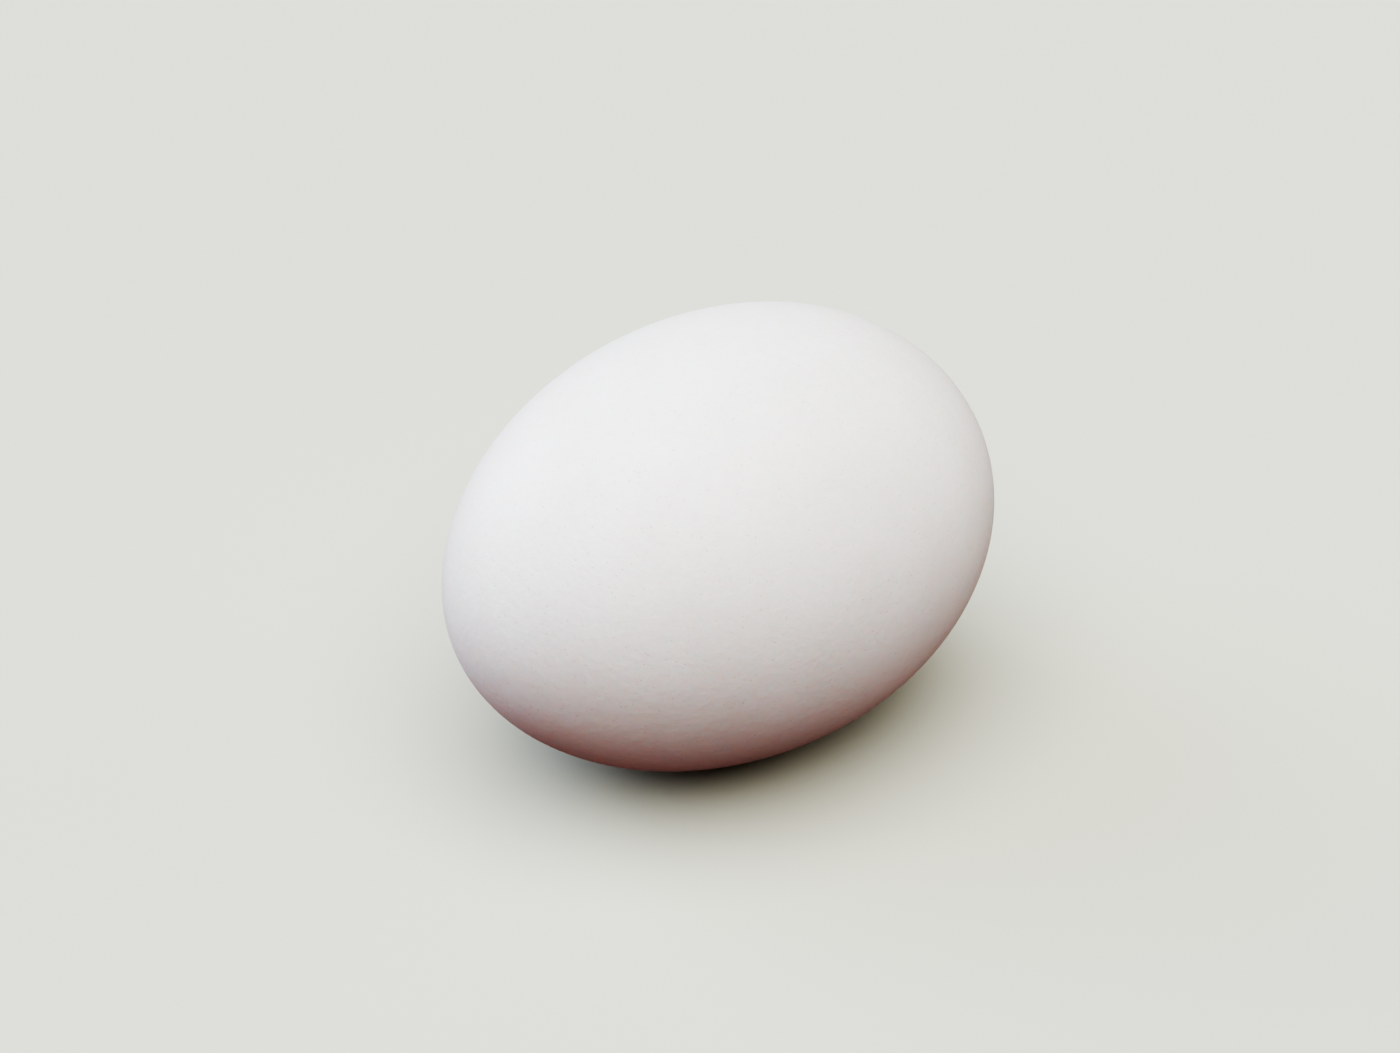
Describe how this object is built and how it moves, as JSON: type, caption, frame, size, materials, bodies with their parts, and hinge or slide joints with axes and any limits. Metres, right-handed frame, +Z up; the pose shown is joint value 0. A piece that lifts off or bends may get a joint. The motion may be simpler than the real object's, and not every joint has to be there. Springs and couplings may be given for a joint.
{
  "type": "hen egg",
  "caption": "Whole white hen's egg with a smooth matte shell, lying on its side with the blunt end slightly raised, on a small flat rest spot.",
  "frame": {"origin": "centre of the small flat spot that the egg rests on", "axes": "+Z up, +X along the long axis towards the blunt end, which is tipped 2 degrees above level; +Y across the egg"},
  "size_m": [0.058, 0.0432, 0.043],
  "materials": {
    "eggshell": "satin"
  },
  "bodies": {
    "root": {"egg": "eggshell"}
  },
  "joints": []
}
